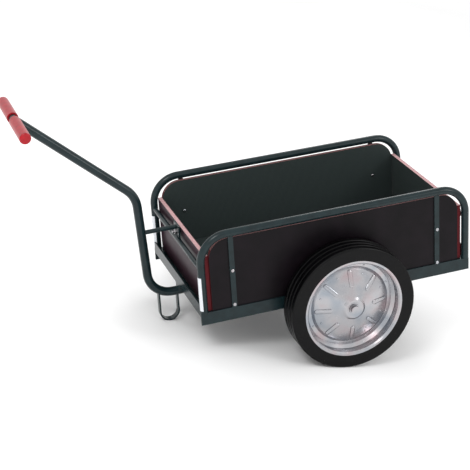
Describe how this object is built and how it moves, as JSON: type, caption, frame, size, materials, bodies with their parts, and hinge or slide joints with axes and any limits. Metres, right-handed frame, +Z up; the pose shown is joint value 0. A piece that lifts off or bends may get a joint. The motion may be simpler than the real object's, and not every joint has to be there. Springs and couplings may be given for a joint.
{
  "type": "hand cart",
  "caption": "Single-axle hand cart with an open wooden box in a bent-tube frame, a swan-neck drawbar with a T-handle, and a loop stand.",
  "frame": {"origin": "on the floor, under the middle of the cart's length, as it stands parked on its wheels and loop stand", "axes": "+X forward towards the handle, +Y to the cart's left, +Z up"},
  "size_m": [1.4602, 0.726, 0.6511],
  "materials": {
    "paint": "anthracite powder coat",
    "ply": "dark film-faced plywood",
    "zinc": "bright zinc plate",
    "tyre": "solid black rubber",
    "grip": "red soft plastic",
    "tape": "white reflective tape"
  },
  "bodies": {
    "cart": {"axle": "zinc", "axle_brackets": "paint", "axle_caps": "zinc", "axle_collars": "paint", "axle_washers": "zinc", "deck_bearers": "paint", "deck_board": "ply", "drawbar": "paint", "drawbar_saddle": "paint", "front_board": "ply", "front_crossbar": "paint", "front_member": "paint", "front_reflectors": "tape", "grip_left": "grip", "grip_right": "grip", "handle_bar": "paint", "rear_board": "ply", "rear_crossbar": "paint", "rear_member": "paint", "side_frame_left": "paint", "side_frame_right": "paint", "side_panel_left": "ply", "side_panel_right": "ply", "side_rail_left": "paint", "side_rail_right": "paint", "side_ribs_left": "paint", "side_ribs_right": "paint", "stand_loop": "paint", "strut": "paint", "strut_bolt": "zinc", "strut_plate": "paint"},
    "wheel_left": {"tyre_left": "tyre", "wheel_disc_outer_left": "zinc", "wheel_disc_inner_left": "zinc", "wheel_hub_left": "zinc"},
    "wheel_right": {"tyre_right": "tyre", "wheel_disc_outer_right": "zinc", "wheel_disc_inner_right": "zinc", "wheel_hub_right": "zinc"}
  },
  "joints": [
    {"name": "wheel_left_spin", "type": "hinge", "parent": "cart", "child": "wheel_left", "pos_m": [-0.30858, 0.31, 0.2], "axis": [0, 1, 0], "continuous": true},
    {"name": "wheel_right_spin", "type": "hinge", "parent": "cart", "child": "wheel_right", "pos_m": [-0.30858, -0.31, 0.2], "axis": [0, 1, 0], "continuous": true}
  ]
}
